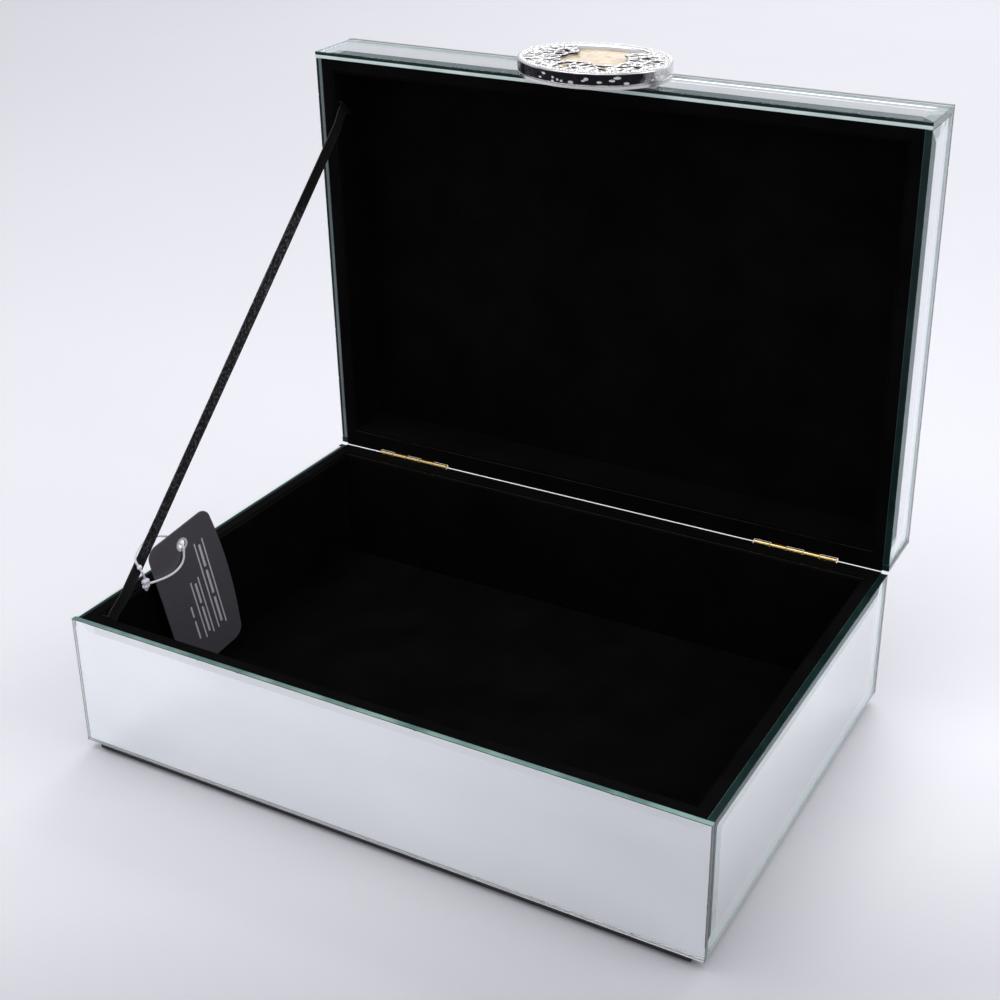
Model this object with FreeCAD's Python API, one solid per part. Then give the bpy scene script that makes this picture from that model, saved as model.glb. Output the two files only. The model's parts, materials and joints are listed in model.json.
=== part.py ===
import FreeCAD, Part
import math
import os

# Mirrored vanity trinket box: a velvet-lined casket of bevelled mirror panels on thin boards.
# The lid turns on two brass butt hinges and stands open on a ribbon stay, and an oval openwork
# medallion on its front edge is the handle. A card tag hangs inside on a nylon loop.
# Millimetres. The origin is the centre of the box's footprint, on the surface it stands on.
# +X runs along the box's length, -Y is the front and +Z is up. The lid is stored open.

Vec = FreeCAD.Vector
X_AXIS = Vec(1, 0, 0)
Y_AXIS = Vec(0, 1, 0)
Z_AXIS = Vec(0, 0, 1)

# ---- driving dimensions -------------------------------------------------------------------
box_length = 280.0          # outside of the glass, along X
box_depth = 194.0           # outside of the glass, along Y
plinth_height = 4.0         # the dark foot that the glass stands clear on
base_glass_height = 59.0    # side mirrors of the base
lid_height = 29.5           # rim to the top of the lid
seam_gap = 0.5              # between the two rims when the lid is shut
open_angle = 88.5           # the lid's angle when the ribbon is taut

glass = 3.2                 # mirror panels
bevel_width = 6.0           # ground bevel round each panel's outer face
bevel_depth = 0.6           # how far the bevel drops at the panel's edge
wall_board = 4.6            # boards behind the side mirrors
floor_board = 4.0
lid_board = 1.8
lining = 1.4                # velvet on card
rim_trim = 0.6              # velvet strip over the boards' edges
lining_step = 1.0           # the lining card stops this far below the rim

plinth_front_inset = 2.2    # the foot's front and back, behind the glass
plinth_side_inset = 5.7
felt_thickness = 1.0
felt_inset = 1.5            # felt edge to plinth edge

# ---- hinges -------------------------------------------------------------------------------
hinge_length = 38.0
hinge_centre = 98.0         # from the middle of the box to each hinge
knuckle_radius = 1.1
knuckle_count = 5
knuckle_gap = 0.3
pin_radius = 0.5
pin_clearance = 0.06
leaf_thickness = 0.6
axis_setback = 0.2          # the pin lies this far behind the back mirrors
notch_clearance = 0.4
screw_spacing = 24.0
screw_radius = 0.9
screw_head_radius = 1.7
screw_length = 7.0

# ---- medallion handle ---------------------------------------------------------------------
medallion_half_length = 33.0
medallion_offset = -1.5     # along X, from the middle of the box
medallion_half_width = 26.4
medallion_rise = 1.5        # its centre lies this far above the lid's rim
medallion_pad = 3.5         # glued pad that holds it off the glass
medallion_plate = 1.2
medallion_ring = 6.0
medallion_wall = 3.6
medallion_disc = 3.8
lattice_thickness = 1.9
lattice_bar = 1.3
medallion_play = 0.15       # disc and lattice inside the ring

# ---- ribbon stay --------------------------------------------------------------------------
ribbon_width = 6.4
ribbon_thickness = 0.6
ribbon_base_depth = 4.3     # anchor below the base's rim
ribbon_lid_depth = 6.0      # anchor inside the lid's rim
ribbon_front_margin = 12.9  # base anchor to the front of the box
ribbon_reach = 168.3        # hinge pin to the lid anchor
ribbon_tab = 3.0            # flat end under each staple
ribbon_ramp = 10.0          # where the ribbon leaves the wall
ribbon_wall_gap = 0.3       # ribbon to the lining, and staple to the ribbon
ribbon_lift = 1.2           # the free run stands this much further off the wall
staple_wire = 0.5
staple_leg = 4.5

# ---- hang tag -----------------------------------------------------------------------------
tag_width = 36.0
tag_length = 71.0
tag_bulge = 2.0             # crown of the tag's curved long side
tag_corner = 5.5
tag_thickness = 0.7
tag_hole_radius = 2.0
tag_hole_drop = 8.0         # hole centre to the tag's top edge
tag_lean = 12.0             # the tag's tilt in its own plane
tag_yaw = 7.0               # the plane's turn away from the side wall
tag_hole = Vec(-125.4, -43.2, 75.7)
strand_radius = 0.5
strand_turn = 1.3           # the loop runs straight this far each side of the hole
lock_size = Vec(2.2, 3.4, 5.6)
bead_radius = 1.15

# ---- worked out ---------------------------------------------------------------------------
half_x = box_length / 2
half_y = box_depth / 2
base_rim = plinth_height + base_glass_height
lid_rim = base_rim + seam_gap
lid_top = lid_rim + lid_height
lid_glass_top = lid_top - glass
board_x = half_x - glass
board_y = half_y - glass
inner_board_x = board_x - wall_board
inner_board_y = board_y - wall_board
inner_x = inner_board_x - lining
inner_y = inner_board_y - lining
base_floor = plinth_height + floor_board
base_floor_top = base_floor + lining
lid_ceiling = lid_glass_top - lid_board - lining
hinge_pin_point = Vec(0, half_y + axis_setback, (base_rim + lid_rim) / 2)

nodes = {}


def box(x0, x1, y0, y1, z0, z1):
    return Part.makeBox(x1 - x0, y1 - y0, z1 - z0, Vec(x0, y0, z0))


def cylinder(radius, start, end):
    run = end - start
    return Part.makeCylinder(radius, run.Length, start, run)


def joined(shapes):
    whole = shapes[0].fuse(shapes[1:]) if len(shapes) > 1 else shapes[0]
    return whole.removeSplitter()


def mirror_panel(width, height):
    """A bevelled panel: width along X, height up Z from 0, outer face towards +Y at y = 0."""
    slab = box(-width / 2, width / 2, -glass, -bevel_depth, 0, height)
    crown = Part.makeWedge(
        -width / 2, -bevel_depth, 0,
        bevel_width, -width / 2 + bevel_width,
        width / 2, 0, height,
        height - bevel_width, width / 2 - bevel_width)
    return joined([slab, crown])


def stand_panel(width, height, turn, place):
    panel = mirror_panel(width, height)
    panel.rotate(Vec(0, 0, 0), Z_AXIS, turn)
    panel.translate(place)
    return panel


def side_mirrors(bottom, top):
    """Front and back panels span the full length, and the side panels fit between them."""
    height = top - bottom
    side_width = box_depth - 2 * glass
    return {
        "front": stand_panel(box_length, height, 180, Vec(0, -half_y, bottom)),
        "back": stand_panel(box_length, height, 0, Vec(0, half_y, bottom)),
        "left": stand_panel(side_width, height, 90, Vec(-half_x, 0, bottom)),
        "right": stand_panel(side_width, height, -90, Vec(half_x, 0, bottom)),
    }


def wall_ring(outer_x, outer_y, thickness, bottom, top):
    """Four flat walls of one thickness: the long walls span the corners."""
    inside_x = outer_x - thickness
    inside_y = outer_y - thickness
    return {
        "front": box(-outer_x, outer_x, -outer_y, -inside_y, bottom, top),
        "back": box(-outer_x, outer_x, inside_y, outer_y, bottom, top),
        "left": box(-outer_x, -inside_x, -inside_y, inside_y, bottom, top),
        "right": box(inside_x, outer_x, -inside_y, inside_y, bottom, top),
    }


def back_flap(bottom, top):
    """The part of the rim strip that covers the back mirror's edge, along the hinges."""
    return box(-board_x, board_x, board_y, half_y - bevel_depth, bottom, top)


def rim_strip(bottom, top):
    outside = box(-board_x, board_x, -board_y, board_y, bottom, top)
    inside = box(-inner_board_x, inner_board_x, -inner_board_y, inner_board_y, bottom, top)
    return joined([outside.cut(inside), back_flap(bottom, top)])


def add_walls(prefix, kind, walls):
    for side, shape in walls.items():
        nodes[prefix + "_" + side + "_" + kind] = shape


# ---- base ---------------------------------------------------------------------------------
def build_base():
    plinth_x = half_x - plinth_side_inset
    plinth_y = half_y - plinth_front_inset
    nodes["base_felt_pad"] = box(
        -plinth_x + felt_inset, plinth_x - felt_inset,
        -plinth_y + felt_inset, plinth_y - felt_inset, 0, felt_thickness)
    nodes["base_plinth_board"] = box(
        -plinth_x, plinth_x, -plinth_y, plinth_y, felt_thickness, plinth_height)
    nodes["base_floor_board"] = box(
        -inner_board_x, inner_board_x, -inner_board_y, inner_board_y, plinth_height, base_floor)
    nodes["base_floor_lining"] = box(
        -inner_board_x, inner_board_x, -inner_board_y, inner_board_y, base_floor, base_floor_top)
    board_top = base_rim - rim_trim
    add_walls("base", "mirror", side_mirrors(plinth_height, base_rim))
    add_walls("base", "board", wall_ring(board_x, board_y, wall_board, plinth_height, board_top))
    add_walls("base", "lining", wall_ring(
        inner_board_x, inner_board_y, lining, base_floor_top, base_rim - lining_step))
    nodes["base_rim_trim"] = rim_strip(board_top, base_rim)
    nodes["base_back_mirror"] = nodes["base_back_mirror"].cut(
        box(-board_x, board_x, board_y, half_y, board_top, base_rim))


# ---- lid, built shut ----------------------------------------------------------------------
def build_lid():
    board_bottom = lid_rim + rim_trim
    nodes["lid_top_mirror"] = mirror_panel(box_length, box_depth)
    nodes["lid_top_mirror"].rotate(Vec(0, 0, 0), X_AXIS, 90)
    nodes["lid_top_mirror"].translate(Vec(0, half_y, lid_top))
    nodes["lid_top_board"] = box(
        -inner_board_x, inner_board_x, -inner_board_y, inner_board_y,
        lid_glass_top - lid_board, lid_glass_top)
    nodes["lid_ceiling_lining"] = box(
        -inner_board_x, inner_board_x, -inner_board_y, inner_board_y,
        lid_ceiling, lid_ceiling + lining)
    add_walls("lid", "mirror", side_mirrors(lid_rim, lid_glass_top))
    add_walls("lid", "board", wall_ring(
        board_x, board_y, wall_board, board_bottom, lid_glass_top))
    add_walls("lid", "lining", wall_ring(
        inner_board_x, inner_board_y, lining, lid_rim + lining_step, lid_ceiling))
    nodes["lid_rim_trim"] = rim_strip(lid_rim, board_bottom)
    nodes["lid_back_mirror"] = nodes["lid_back_mirror"].cut(
        box(-board_x, board_x, board_y, half_y, lid_rim, board_bottom))


# ---- hinges -------------------------------------------------------------------------------
def knuckle_spans(centre):
    """The X spans of the barrel's knuckles, from left to right."""
    pitch = hinge_length / knuckle_count
    start = centre - hinge_length / 2
    return [(start + k * pitch + knuckle_gap / 2, start + (k + 1) * pitch - knuckle_gap / 2)
            for k in range(knuckle_count)]


def hinge_leaf(centre, level, knuckles):
    """One leaf, let into a rim at level (its underside), with the knuckles it owns."""
    y_axis = hinge_pin_point.y
    z_axis = hinge_pin_point.z
    plate_end = y_axis - knuckle_radius - notch_clearance
    x0 = centre - hinge_length / 2
    x1 = centre + hinge_length / 2
    pieces = [box(x0, x1, inner_board_y, plate_end, level, level + leaf_thickness)]
    for a, b in knuckles:
        pieces.append(cylinder(knuckle_radius, Vec(a, y_axis, z_axis), Vec(b, y_axis, z_axis)))
        pieces.append(box(a, b, plate_end, y_axis, level, level + leaf_thickness))
    bore = cylinder(pin_radius + pin_clearance, Vec(x0 - 1, y_axis, z_axis),
                    Vec(x1 + 1, y_axis, z_axis))
    return joined(pieces).cut(bore)


def countersunk_screw(x, surface, direction):
    """A small wood screw, its head flush with surface and its shank along direction (+1 or -1)."""
    y = (board_y + inner_board_y) / 2
    head = Part.makeCone(screw_head_radius, screw_radius, leaf_thickness,
                         Vec(x, y, surface), Vec(0, 0, direction))
    shank = Part.makeCylinder(screw_radius, screw_length, Vec(x, y, surface),
                              Vec(0, 0, direction))
    return joined([head, shank])


def build_hinges():
    base_level = base_rim - rim_trim - leaf_thickness
    lid_level = lid_rim + rim_trim
    base_screws = []
    lid_screws = []
    for name, centre in (("left", -hinge_centre), ("right", hinge_centre)):
        spans = knuckle_spans(centre)
        base_leaf = hinge_leaf(centre, base_level, spans[0::2])
        lid_leaf = hinge_leaf(centre, lid_level, spans[1::2])
        for offset in (-screw_spacing / 2, screw_spacing / 2):
            base_screws.append(
                countersunk_screw(centre + offset, base_level + leaf_thickness, -1))
            lid_screws.append(countersunk_screw(centre + offset, lid_level, 1))
        nodes[name + "_hinge_base_leaf"] = base_leaf.cut(base_screws[-2]).cut(base_screws[-1])
        nodes[name + "_hinge_lid_leaf"] = lid_leaf.cut(lid_screws[-2]).cut(lid_screws[-1])
        nodes[name + "_hinge_pin"] = cylinder(
            pin_radius,
            hinge_pin_point + Vec(centre - hinge_length / 2, 0, 0),
            hinge_pin_point + Vec(centre + hinge_length / 2, 0, 0))
        notch_half = hinge_length / 2 + notch_clearance
        x0 = centre - notch_half
        x1 = centre + notch_half
        back = half_y + 1
        base_notch = box(x0, x1, board_y, back, base_level - notch_clearance, base_rim + 1)
        lid_notch = box(x0, x1, board_y, back, lid_rim - 1,
                        lid_level + leaf_thickness + notch_clearance)
        for node, notch in (
                ("base_back_mirror", base_notch), ("base_rim_trim", base_notch),
                ("lid_back_mirror", lid_notch), ("lid_rim_trim", lid_notch)):
            nodes[node] = nodes[node].cut(notch)
        base_pocket = box(centre - hinge_length / 2, centre + hinge_length / 2,
                          inner_board_y, board_y, base_level, base_rim - rim_trim)
        lid_pocket = box(centre - hinge_length / 2, centre + hinge_length / 2,
                         inner_board_y, board_y, lid_level, lid_level + leaf_thickness)
        nodes["base_back_board"] = nodes["base_back_board"].cut(base_pocket)
        nodes["lid_back_board"] = nodes["lid_back_board"].cut(lid_pocket)
    for screw in base_screws:
        nodes["base_back_board"] = nodes["base_back_board"].cut(screw)
    for screw in lid_screws:
        nodes["lid_back_board"] = nodes["lid_back_board"].cut(screw)
    nodes["base_hinge_screws"] = Part.makeCompound(base_screws)
    nodes["lid_hinge_screws"] = Part.makeCompound(lid_screws)


# ---- medallion handle, on the shut lid's front -------------------------------------------
def oval_plate(half_length, half_width, centre_z, front_y, thickness):
    """An upright oval plate whose back face is at front_y and which grows towards -Y."""
    curve = Part.Ellipse(Vec(0, 0, 0), half_length, half_width)
    plate = Part.Face(Part.Wire(curve.toShape())).extrude(Vec(0, 0, thickness))
    plate.rotate(Vec(0, 0, 0), X_AXIS, 90)
    plate.translate(Vec(0, front_y, centre_z))
    return plate


def lattice_bars(half_length, half_width, centre_z, y_back, thickness):
    """Openwork: a wavy inner vine tied to the ring by forked twigs, as short straight bars."""
    twig_count = 18
    vine_length = 0.60 * half_length
    vine_width = 0.56 * half_width
    vine_lift = 0.10 * half_width
    bars = []

    def point(angle, reach_x, reach_z, lift):
        return Vec(reach_x * math.cos(angle), 0, reach_z * math.sin(angle) + lift)

    def bar(a, b):
        run = b - a
        slab = Part.makeBox(run.Length + lattice_bar, thickness, lattice_bar,
                            Vec(-lattice_bar / 2, -thickness, -lattice_bar / 2))
        slab.rotate(Vec(0, 0, 0), Y_AXIS, -math.degrees(math.atan2(run.z, run.x)))
        slab.translate(a + Vec(0, y_back, centre_z))
        return slab

    step = 2 * math.pi / twig_count
    reach_x = half_length - lattice_bar
    reach_z = half_width - lattice_bar
    for k in range(twig_count):
        angle = k * step
        wave = 1.0 + 0.10 * math.cos(3 * angle + 0.6)
        wave_next = 1.0 + 0.10 * math.cos(3 * (angle + step) + 0.6)
        here = point(angle, vine_length * wave, vine_width * wave, vine_lift)
        after = point(angle + step, vine_length * wave_next, vine_width * wave_next, vine_lift)
        fork = point(angle + 0.25 * step, 0.80 * half_length, 0.80 * half_width, 0)
        bars.append(bar(here, after))
        bars.append(bar(here, fork))
        bars.append(bar(fork, point(angle - 0.05 * step, reach_x, reach_z, 0)))
        bars.append(bar(fork, point(angle + 0.55 * step, reach_x, reach_z, 0)))
    return joined(bars)


def build_medallion():
    centre_z = lid_rim + medallion_rise
    a = medallion_half_length
    b = medallion_half_width
    pad_front = -half_y - medallion_pad
    plate_front = pad_front - medallion_plate
    pad = oval_plate(a - 6, b - 5, centre_z, -half_y, medallion_pad)
    below_rim = box(-a, a, pad_front - 1, -half_y + 1, centre_z - b, lid_rim + 1)
    above_flat = box(-a, a, pad_front - 1, -half_y + 1, lid_glass_top - bevel_width,
                     centre_z + b)
    nodes["medallion_pad"] = pad.cut(below_rim).cut(above_flat)
    nodes["medallion_back_plate"] = oval_plate(a, b, centre_z, pad_front, medallion_plate)
    outside = oval_plate(a, b, centre_z, plate_front, medallion_ring)
    inside_a = a - medallion_wall
    inside_b = b - medallion_wall
    inside = oval_plate(inside_a, inside_b, centre_z, plate_front, medallion_ring)
    nodes["medallion_ring"] = outside.cut(inside)
    disc_a = inside_a - medallion_play
    disc_b = inside_b - medallion_play
    nodes["medallion_disc"] = oval_plate(disc_a, disc_b, centre_z, plate_front, medallion_disc)
    disc_front = plate_front - medallion_disc
    bars = lattice_bars(disc_a, disc_b, centre_z, disc_front, lattice_thickness)
    limit = oval_plate(disc_a, disc_b, centre_z, disc_front, lattice_thickness)
    nodes["medallion_lattice"] = bars.common(limit).removeSplitter()
    for part in ("pad", "back_plate", "ring", "disc", "lattice"):
        nodes["medallion_" + part].translate(Vec(medallion_offset, 0, 0))


# ---- ribbon stay --------------------------------------------------------------------------
def ribbon_ends():
    """Anchor points at the open lid: one on the base's left wall, one on the lid's."""
    base_end = Vec(0, -half_y + ribbon_front_margin, base_rim - ribbon_base_depth)
    angle = math.radians(open_angle)
    up = Vec(0, math.cos(math.pi - angle), math.sin(angle))
    inward = Vec(0, math.sin(angle), math.cos(angle))
    lid_end = hinge_pin_point + up * ribbon_reach + inward * ribbon_lid_depth
    lid_end.x = 0
    return base_end, lid_end


def strip_across(profile, direction):
    """Sweep a closed profile of (along, x) points over the ribbon's width."""
    base_end, _ = ribbon_ends()
    across = X_AXIS.cross(direction)
    points = [base_end + direction * s + X_AXIS * x - across * (ribbon_width / 2)
              for s, x in profile]
    face = Part.Face(Part.makePolygon(points + [points[0]]))
    return face.extrude(across * ribbon_width)


def build_ribbon():
    base_end, lid_end = ribbon_ends()
    direction = lid_end - base_end
    length = direction.Length
    direction.normalize()
    across = X_AXIS.cross(direction)
    near = -inner_x + ribbon_wall_gap
    far = near + ribbon_lift
    line = [(-ribbon_tab / 2, near), (ribbon_tab / 2, near), (ribbon_tab / 2 + ribbon_ramp, far),
            (length - ribbon_tab / 2 - ribbon_ramp, far), (length - ribbon_tab / 2, near),
            (length + ribbon_tab / 2, near)]
    back = [(s, x + ribbon_thickness) for s, x in reversed(line)]
    nodes["lid_stay_ribbon"] = strip_across(line + back, direction)

    for name, end, walls in (
            ("stay_base_staple", base_end, ("base_left_lining", "base_left_board")),
            ("stay_lid_staple", lid_end, ("lid_left_lining", "lid_left_board"))):
        half_span = ribbon_width / 2 + 2 * staple_wire
        crown_x = near + ribbon_thickness + staple_wire + ribbon_wall_gap
        a = end + across * half_span + X_AXIS * crown_x
        b = end - across * half_span + X_AXIS * crown_x
        tip = X_AXIS * -staple_leg
        nodes[name] = joined([
            cylinder(staple_wire, a, b), Part.makeSphere(staple_wire, a),
            Part.makeSphere(staple_wire, b),
            cylinder(staple_wire, a, a + tip), cylinder(staple_wire, b, b + tip)])
        for wall in walls:
            nodes[wall] = nodes[wall].cut(nodes[name])


# ---- hang tag and its loop ----------------------------------------------------------------
def tag_frame():
    """The tag's own directions: across its width, up its length, and out of its face."""
    yaw = math.radians(tag_yaw)
    lean = math.radians(tag_lean)
    level = Vec(math.sin(yaw), math.cos(yaw), 0)
    across = level * math.cos(lean) + Z_AXIS * math.sin(lean)
    up = Z_AXIS * math.cos(lean) - level * math.sin(lean)
    return across, up, across.cross(up)


def tag_outline():
    """A card with rounded corners and one crowned long side, hole at the origin, in XY."""
    half = tag_width / 2
    top = tag_hole_drop
    bottom = top - tag_length
    r = tag_corner
    cut = r * (1 - math.sqrt(0.5))
    middle = (top + bottom) / 2
    return Part.Wire([
        Part.LineSegment(Vec(-half + r, top, 0), Vec(half - r, top, 0)).toShape(),
        Part.Arc(Vec(half - r, top, 0), Vec(half - cut, top - cut, 0),
                 Vec(half, top - r, 0)).toShape(),
        Part.Arc(Vec(half, top - r, 0), Vec(half + tag_bulge, middle, 0),
                 Vec(half, bottom + r, 0)).toShape(),
        Part.Arc(Vec(half, bottom + r, 0), Vec(half - cut, bottom + cut, 0),
                 Vec(half - r, bottom, 0)).toShape(),
        Part.LineSegment(Vec(half - r, bottom, 0), Vec(-half + r, bottom, 0)).toShape(),
        Part.Arc(Vec(-half + r, bottom, 0), Vec(-half + cut, bottom + cut, 0),
                 Vec(-half, bottom + r, 0)).toShape(),
        Part.LineSegment(Vec(-half, bottom + r, 0), Vec(-half, top - r, 0)).toShape(),
        Part.Arc(Vec(-half, top - r, 0), Vec(-half + cut, top - cut, 0),
                 Vec(-half + r, top, 0)).toShape()])


def build_tag():
    across, up, out = tag_frame()
    card = Part.Face(tag_outline()).extrude(Vec(0, 0, tag_thickness))
    card = card.cut(Part.makeCylinder(tag_hole_radius, 3 * tag_thickness,
                                      Vec(0, 0, -tag_thickness)))
    card.translate(Vec(0, 0, -tag_thickness / 2))
    card.transformShape(FreeCAD.Matrix(
        across.x, up.x, out.x, tag_hole.x,
        across.y, up.y, out.y, tag_hole.y,
        across.z, up.z, out.z, tag_hole.z,
        0, 0, 0, 1))
    nodes["hang_tag"] = card

    # The loop leaves the lock, lies over the card, goes through its hole and back round the
    # ribbon, and ends in the bead above the lock.
    lock_top = Vec(-127.0, -65.3, 69.4)
    bead = Vec(-127.3, -67.6, 75.9)
    route = [
        lock_top + Vec(0.2, 2.0, -3.0), Vec(-126.2, -59.2, 65.6), Vec(-125.4, -52.8, 65.0),
        Vec(-124.8, -49.0, 65.5), Vec(-124.3, -46.2, 66.9), Vec(-124.0, -44.4, 69.0),
        Vec(-123.9, -43.8, 71.6), tag_hole + out * strand_turn, tag_hole - out * strand_turn,
        Vec(-127.7, -44.6, 78.6), Vec(-129.0, -47.8, 80.8), Vec(-129.9, -51.5, 82.6),
        Vec(-129.9, -56.5, 83.8), Vec(-129.9, -61.5, 84.0), Vec(-129.7, -65.6, 82.6),
        Vec(-128.5, -69.2, 79.4), bead]
    strand = [Part.makeSphere(strand_radius, point) for point in route]
    strand += [cylinder(strand_radius, a, b) for a, b in zip(route, route[1:])]
    link = cylinder(strand_radius, bead, lock_top)
    lock = Part.makeBox(lock_size.x, lock_size.y, lock_size.z,
                        lock_top + Vec(-lock_size.x / 2, -lock_size.y / 2, -lock_size.z))
    body = joined([Part.makeSphere(bead_radius, bead), link, lock])
    nodes["tag_loop_lock"] = body
    nodes["tag_loop"] = joined(strand).cut(body)


# ---- assembly -----------------------------------------------------------------------------
build_base()
base_count = len(nodes)
build_lid()
lid_nodes = list(nodes)[base_count:]
build_hinges()
build_medallion()
lid_nodes += ["left_hinge_lid_leaf", "right_hinge_lid_leaf", "lid_hinge_screws"]
lid_nodes += [name for name in nodes if name.startswith("medallion_")]
for lid_node in lid_nodes:
    nodes[lid_node].rotate(hinge_pin_point, X_AXIS, -open_angle)
build_ribbon()
build_tag()

os.makedirs("parts", exist_ok=True)
for node, solid in nodes.items():
    solid.exportStep("parts/" + node + ".step")
print(len(nodes), "nodes written")
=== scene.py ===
import json
import math
import random

import bmesh
import bpy
from mathutils import Matrix, Vector, noise


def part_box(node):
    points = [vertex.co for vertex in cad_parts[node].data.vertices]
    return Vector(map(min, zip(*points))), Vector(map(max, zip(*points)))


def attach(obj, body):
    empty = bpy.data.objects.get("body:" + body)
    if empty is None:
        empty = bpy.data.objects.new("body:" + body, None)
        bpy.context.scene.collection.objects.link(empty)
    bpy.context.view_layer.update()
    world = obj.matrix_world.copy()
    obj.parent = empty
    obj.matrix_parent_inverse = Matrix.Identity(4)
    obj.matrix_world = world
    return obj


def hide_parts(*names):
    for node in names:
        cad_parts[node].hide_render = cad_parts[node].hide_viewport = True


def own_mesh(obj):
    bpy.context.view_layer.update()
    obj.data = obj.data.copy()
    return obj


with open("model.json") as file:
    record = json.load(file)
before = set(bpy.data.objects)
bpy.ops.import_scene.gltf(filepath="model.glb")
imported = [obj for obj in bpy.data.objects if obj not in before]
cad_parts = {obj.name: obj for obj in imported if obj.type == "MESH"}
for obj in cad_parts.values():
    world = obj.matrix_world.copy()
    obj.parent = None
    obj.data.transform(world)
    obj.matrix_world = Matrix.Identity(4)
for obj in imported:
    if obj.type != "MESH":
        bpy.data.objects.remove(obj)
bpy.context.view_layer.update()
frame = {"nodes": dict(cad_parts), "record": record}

# Looks for the mirrored vanity trinket box. Metres, in the CAD's frame: +X along the box, -Y the
# front, +Z up. Lid pieces are made on the shut lid, where they are square to the axes, and then
# turned up to the open pose in which the CAD stores the lid.

MM = 0.001

# ---- sizes that the frame doesn't state -----------------------------------------------------
bevel_width = 6.0 * MM
bevel_depth = 0.6 * MM
low_bevel_depth = 0.22 * MM  # on the panels seen at a low angle, so that light gets out again
arris = 0.15 * MM            # seamed corner between a panel's bevel and its edge
panel_play = 0.10 * MM       # each panel stands this far inside its CAD solid
chip_spacing = 34.0 * MM     # mean run between chips along an edge
rim_cut = 0.6 * MM           # the back mirrors are this much shorter where velvet covers them
hinge_cut = 1.6 * MM         # and this much at each hinge
hinge_gap = 0.4 * MM
board_edge = 3.2 * MM        # the velvet flap starts this far from each end of the box

flap_end = 96.3 * MM         # the velvet flap over the back mirrors' edges reaches past here
flap_overhang = 0.85 * MM
lip_reach = 96.03 * MM       # the lips over the hinge leaves stop just short of the knuckles

# ---- the shut lid's frame -------------------------------------------------------------------
joints = {joint["name"]: joint for joint in frame["record"]["behaviour"]["joints"]}
hinge = joints["lid_hinge"]
hinge_point = Vector(hinge["pos_m"])
open_angle = math.radians(hinge["range_deg"][1])
lid_names = set(frame["record"]["behaviour"]["bodies"]["lid"])
collection = bpy.context.scene.collection


def turn_about(point, axis, angle):
    return Matrix.Translation(point) @ Matrix.Rotation(angle, 4, axis) @ Matrix.Translation(-point)


shut_to_open = turn_about(hinge_point, Vector((1, 0, 0)), -open_angle)
open_to_shut = shut_to_open.inverted()


def shut_box(node):
    """A node's box with the lid shut: lid nodes are turned back down first."""
    mesh = frame["nodes"][node].data
    turn = open_to_shut if node in lid_names else Matrix.Identity(4)
    points = [turn @ vertex.co for vertex in mesh.vertices]
    low = Vector([min(p[k] for p in points) for k in range(3)])
    high = Vector([max(p[k] for p in points) for k in range(3)])
    return low, high


# ---- material helpers -----------------------------------------------------------------------
def new_material(name):
    material = bpy.data.materials.new(name)
    material.use_nodes = True
    tree = material.node_tree
    shader = tree.nodes["Principled BSDF"]
    coords = tree.nodes.new("ShaderNodeTexCoord")
    return material, tree, shader, coords.outputs["Object"]


def set_inputs(shader, **values):
    """Sets uniform values straight on the shader's own sockets."""
    for key, value in values.items():
        shader.inputs[key.replace("_", " ")].default_value = value


def noise_texture(tree, vector, scale, detail=4.0, roughness=0.55):
    texture = tree.nodes.new("ShaderNodeTexNoise")
    texture.inputs["Scale"].default_value = scale
    texture.inputs["Detail"].default_value = detail
    texture.inputs["Roughness"].default_value = roughness
    tree.links.new(vector, texture.inputs["Vector"])
    return texture


def color_ramp(tree, factor, stops):
    ramp = tree.nodes.new("ShaderNodeValToRGB")
    elements = ramp.color_ramp.elements
    while len(elements) < len(stops):
        elements.new(0.5)
    for element, (position, color) in zip(elements, stops):
        element.position = position
        element.color = (*color, 1)
    tree.links.new(factor, ramp.inputs["Fac"])
    return ramp.outputs["Color"]


def noise_color(tree, shader, vector, scale, detail, stops):
    """Makes the shader's colour follow a noise, and returns the noise."""
    texture = noise_texture(tree, vector, scale, detail)
    color = color_ramp(tree, texture.outputs["Fac"], stops)
    tree.links.new(color, shader.inputs["Base Color"])
    return texture


def multiply_colors(tree, a, b):
    node = tree.nodes.new("ShaderNodeMix")
    node.data_type = "RGBA"
    node.blend_type = "MULTIPLY"
    node.inputs["Factor"].default_value = 1.0
    tree.links.new(a, node.inputs["A"])
    tree.links.new(b, node.inputs["B"])
    return node.outputs["Result"]


def map_range(tree, value, low, high):
    node = tree.nodes.new("ShaderNodeMapRange")
    node.inputs["To Min"].default_value = low
    node.inputs["To Max"].default_value = high
    tree.links.new(value, node.inputs["Value"])
    return node.outputs["Result"]


def add_bump(tree, shader, height, strength, distance):
    bump = tree.nodes.new("ShaderNodeBump")
    bump.inputs["Strength"].default_value = strength
    bump.inputs["Distance"].default_value = distance
    tree.links.new(height, bump.inputs["Height"])
    tree.links.new(bump.outputs["Normal"], shader.inputs["Normal"])


def linked_noise(tree, shader, socket, vector, scale, low, high, detail=4.0):
    """Lets a noise vary one of the shader's inputs between low and high."""
    texture = noise_texture(tree, vector, scale, detail)
    tree.links.new(map_range(tree, texture.outputs["Fac"], low, high), shader.inputs[socket])


# ---- materials ------------------------------------------------------------------------------
def glass_material(name, sheen):
    """Clear mirror glass. The ground bevels have a fine haze that shows teal at low angles."""
    material, tree, shader, vector = new_material(name)
    noise_color(tree, shader, vector, 7.0, 2.0, [
        (0.3, (0.955, 0.982, 0.985)), (0.7, (0.972, 0.990, 0.992))])
    set_inputs(shader, Roughness=0.0, IOR=1.52, Transmission_Weight=1.0)
    if sheen:
        set_inputs(shader, Sheen_Weight=sheen, Sheen_Roughness=0.3)
        set_inputs(shader, Sheen_Tint=(0.10, 0.55, 0.50, 1))
    return material


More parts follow.
